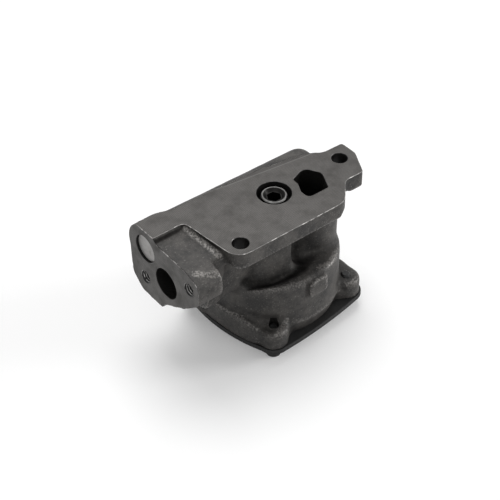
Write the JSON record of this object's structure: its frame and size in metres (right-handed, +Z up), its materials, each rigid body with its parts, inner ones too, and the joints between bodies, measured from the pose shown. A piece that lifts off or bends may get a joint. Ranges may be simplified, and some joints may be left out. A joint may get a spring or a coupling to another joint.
{
  "type": "engine oil pump",
  "caption": "Gerotor engine oil pump with a cast iron housing, hexagon shaft drive, bolted pickup face, relief valve and screwed bottom cover.",
  "frame": {"origin": "on the drive shaft's axis, in the plane of the machined mounting face", "axes": "+Z up out of the mounting face along the drive shaft, +X along the flange away from the pickup face, +Y towards the relief valve"},
  "size_m": [0.1438, 0.0904, 0.0916],
  "materials": {
    "cast_housing": "rough cast, with machined top and pickup faces",
    "black_cover": "black phosphate",
    "black_screws": "black oxide",
    "washer_steel": "dull",
    "shaft_steel": "turned and ground",
    "rotor_steel": "sintered and ground",
    "plug_steel": "plated",
    "valve_steel": "ground"
  },
  "bodies": {
    "casing": {"housing": "cast_housing", "cover_plate": "black_cover", "cover_screw_1": "black_screws", "cover_screw_2": "black_screws", "cover_screw_3": "black_screws", "cover_screw_4": "black_screws", "lock_washer_1": "washer_steel", "lock_washer_2": "washer_steel", "lock_washer_3": "washer_steel", "lock_washer_4": "washer_steel", "relief_plug": "plug_steel", "relief_spring": "valve_steel"},
    "shaft": {"drive_shaft": "shaft_steel", "rotor_pin": "shaft_steel", "inner_rotor": "rotor_steel"},
    "outer_rotor": {"outer_rotor": "rotor_steel"},
    "plunger": {"relief_plunger": "valve_steel"}
  },
  "joints": [
    {"name": "shaft_spin", "type": "hinge", "parent": "casing", "child": "shaft", "pos_m": [0, 0, 0], "axis": [0, 0, 1], "continuous": true},
    {"name": "outer_rotor_spin", "type": "hinge", "parent": "casing", "child": "outer_rotor", "pos_m": [0.00212, 0.00212, -0.0676], "axis": [0, 0, 1], "continuous": true},
    {"name": "relief_slide", "type": "slide", "parent": "casing", "child": "plunger", "axis": [-1, 0, 0], "range_m": [0, 0.0105], "stiffness_N_per_m": 6000, "springref_m": -0.013, "deforming": ["relief_spring"]}
  ],
  "couplings": [
    {"joint": "outer_rotor_spin", "follows": "shaft_spin", "ratio": 0.8}
  ]
}
